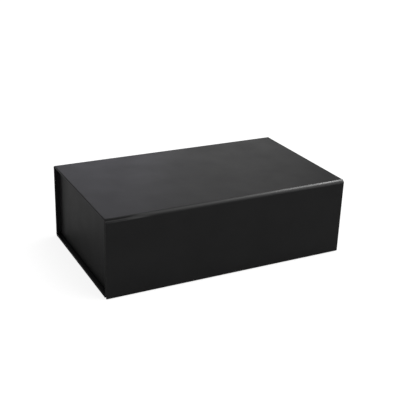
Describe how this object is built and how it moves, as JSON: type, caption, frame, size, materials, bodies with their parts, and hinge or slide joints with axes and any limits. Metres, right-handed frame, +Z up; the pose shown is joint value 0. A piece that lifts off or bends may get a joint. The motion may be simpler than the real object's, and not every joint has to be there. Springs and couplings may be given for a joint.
{
  "type": "gift box",
  "caption": "Rectangular rigid gift box, book style, with a hinged lid, a full-height magnetic front flap, recessed fold-in end walls and glued-paper wrapping.",
  "frame": {"origin": "centre of the box's footprint, on the surface that it stands on", "axes": "+X along the box's length, +Y from the flap to the hinged back, +Z up; lid closed, end walls upright"},
  "size_m": [0.33, 0.195, 0.103],
  "materials": {
    "cover_paper": "satin black laminated art paper",
    "liner_paper": "matte black uncoated lining paper",
    "hinge_paper": "satin black laminated art paper, creased",
    "greyboard": "bare greyboard",
    "magnet": "nickel-plated neodymium disc",
    "striker_steel": "bare steel disc",
    "adhesive_strip": "release paper over an adhesive strip"
  },
  "bodies": {
    "case": {"case_cover": "cover_paper", "case_liner": "liner_paper", "front_wall_board": "greyboard", "base_board": "greyboard", "back_wall_board": "greyboard", "left_striker": "striker_steel", "right_striker": "striker_steel", "lid_crease": "hinge_paper", "left_end_crease": "hinge_paper", "right_end_crease": "hinge_paper"},
    "lid": {"lid_cover": "cover_paper", "lid_liner": "liner_paper", "lid_board": "greyboard", "flap_crease": "hinge_paper"},
    "flap": {"flap_cover": "cover_paper", "flap_liner": "liner_paper", "flap_board": "greyboard", "left_magnet": "magnet", "right_magnet": "magnet"},
    "left_end": {"left_end_cover": "cover_paper", "left_end_liner": "liner_paper", "left_end_board": "greyboard", "left_front_wing_crease": "hinge_paper", "left_back_wing_crease": "hinge_paper"},
    "left_front_wing": {"left_front_wing_cover": "cover_paper", "left_front_wing_board": "greyboard", "left_front_wing_adhesive": "adhesive_strip"},
    "left_back_wing": {"left_back_wing_cover": "cover_paper", "left_back_wing_board": "greyboard", "left_back_wing_adhesive": "adhesive_strip"},
    "right_end": {"right_end_cover": "cover_paper", "right_end_liner": "liner_paper", "right_end_board": "greyboard", "right_front_wing_crease": "hinge_paper", "right_back_wing_crease": "hinge_paper"},
    "right_front_wing": {"right_front_wing_cover": "cover_paper", "right_front_wing_board": "greyboard", "right_front_wing_adhesive": "adhesive_strip"},
    "right_back_wing": {"right_back_wing_cover": "cover_paper", "right_back_wing_board": "greyboard", "right_back_wing_adhesive": "adhesive_strip"}
  },
  "joints": [
    {"name": "lid_hinge", "type": "hinge", "parent": "case", "child": "lid", "pos_m": [0, 0.09647, 0.10197], "axis": [-1, 0, 0], "range_deg": [0, 180], "deforming": ["lid_crease"]},
    {"name": "flap_hinge", "type": "hinge", "parent": "lid", "child": "flap", "pos_m": [0, -0.09647, 0.10197], "axis": [-1, 0, 0], "range_deg": [0, 90], "deforming": ["flap_crease"]},
    {"name": "left_end_fold", "type": "hinge", "parent": "case", "child": "left_end", "pos_m": [-0.1536, 0, 0.003], "axis": [0, -1, 0], "range_deg": [-90, 0], "deforming": ["left_end_crease"]},
    {"name": "left_front_wing_fold", "type": "hinge", "parent": "left_end", "child": "left_front_wing", "pos_m": [-0.1558, -0.0889, 0.0028], "axis": [0, 0, -1], "range_deg": [-90, 0], "deforming": ["left_front_wing_crease"]},
    {"name": "left_back_wing_fold", "type": "hinge", "parent": "left_end", "child": "left_back_wing", "pos_m": [-0.1558, 0.0921, 0.0028], "axis": [0, 0, 1], "range_deg": [-90, 0], "deforming": ["left_back_wing_crease"]},
    {"name": "right_end_fold", "type": "hinge", "parent": "case", "child": "right_end", "pos_m": [0.1536, 0, 0.003], "axis": [0, 1, 0], "range_deg": [-90, 0], "deforming": ["right_end_crease"]},
    {"name": "right_front_wing_fold", "type": "hinge", "parent": "right_end", "child": "right_front_wing", "pos_m": [0.1558, -0.0889, 0.0028], "axis": [0, 0, 1], "range_deg": [-90, 0], "deforming": ["right_front_wing_crease"]},
    {"name": "right_back_wing_fold", "type": "hinge", "parent": "right_end", "child": "right_back_wing", "pos_m": [0.1558, 0.0921, 0.0028], "axis": [0, 0, -1], "range_deg": [-90, 0], "deforming": ["right_back_wing_crease"]}
  ],
  "couplings": [
    {"joint": "left_front_wing_fold", "follows": "left_end_fold", "ratio": 1},
    {"joint": "left_back_wing_fold", "follows": "left_end_fold", "ratio": 1},
    {"joint": "right_front_wing_fold", "follows": "right_end_fold", "ratio": 1},
    {"joint": "right_back_wing_fold", "follows": "right_end_fold", "ratio": 1}
  ]
}
